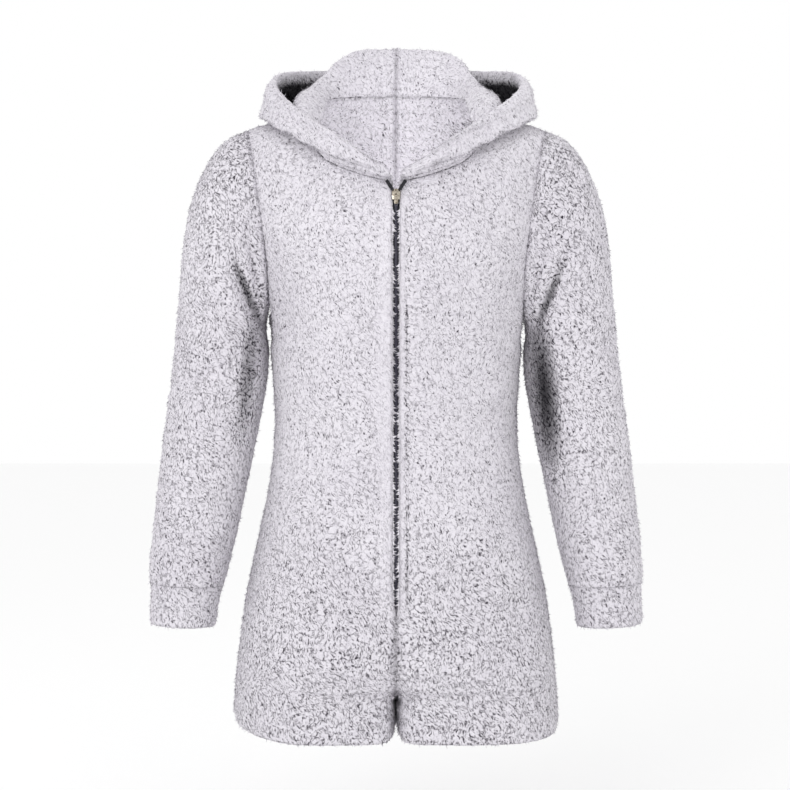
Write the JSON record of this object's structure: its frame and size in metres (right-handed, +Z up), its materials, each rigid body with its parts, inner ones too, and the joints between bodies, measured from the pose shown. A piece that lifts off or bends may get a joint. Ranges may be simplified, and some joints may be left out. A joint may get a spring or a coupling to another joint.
{
  "type": "onesie pajama",
  "caption": "Short hooded onesie in thick curly fleece, hollow as worn, with long set-in sleeves, short legs, a front zip, and the hood folded down.",
  "frame": {"origin": "centre of the base of the wearer's neck, level with the tops of the shoulders", "axes": "+Z up along the body, -Y out of the front, +X to the right of a front view (the wearer's left)"},
  "size_m": [0.586, 0.3086, 0.8343],
  "materials": {
    "fleece": "curly sherpa pile, matte",
    "zip_tape": "woven tape, matte",
    "zip_coil": "moulded coil, satin",
    "zip_metal": "nickel plated, polished"
  },
  "bodies": {
    "garment": {"front_right": "fleece", "front_left": "fleece", "back_right": "fleece", "back_left": "fleece", "sleeve_right": "fleece", "sleeve_left": "fleece", "cuff_right": "fleece", "cuff_left": "fleece", "hood_right": "fleece", "hood_left": "fleece", "zip_tape_right": "zip_tape", "zip_tape_left": "zip_tape", "zip_end_right": "zip_tape", "zip_end_left": "zip_tape", "zip_chain": "zip_coil", "zip_slider": "zip_metal"},
    "pull_tab": {"zip_pull_tab": "zip_metal"}
  },
  "joints": [
    {"name": "pull_tab_swing", "type": "hinge", "parent": "garment", "child": "pull_tab", "pos_m": [0, -0.11468, -0.09608], "axis": [-1, 0, 0], "range_deg": [0, 165]}
  ]
}
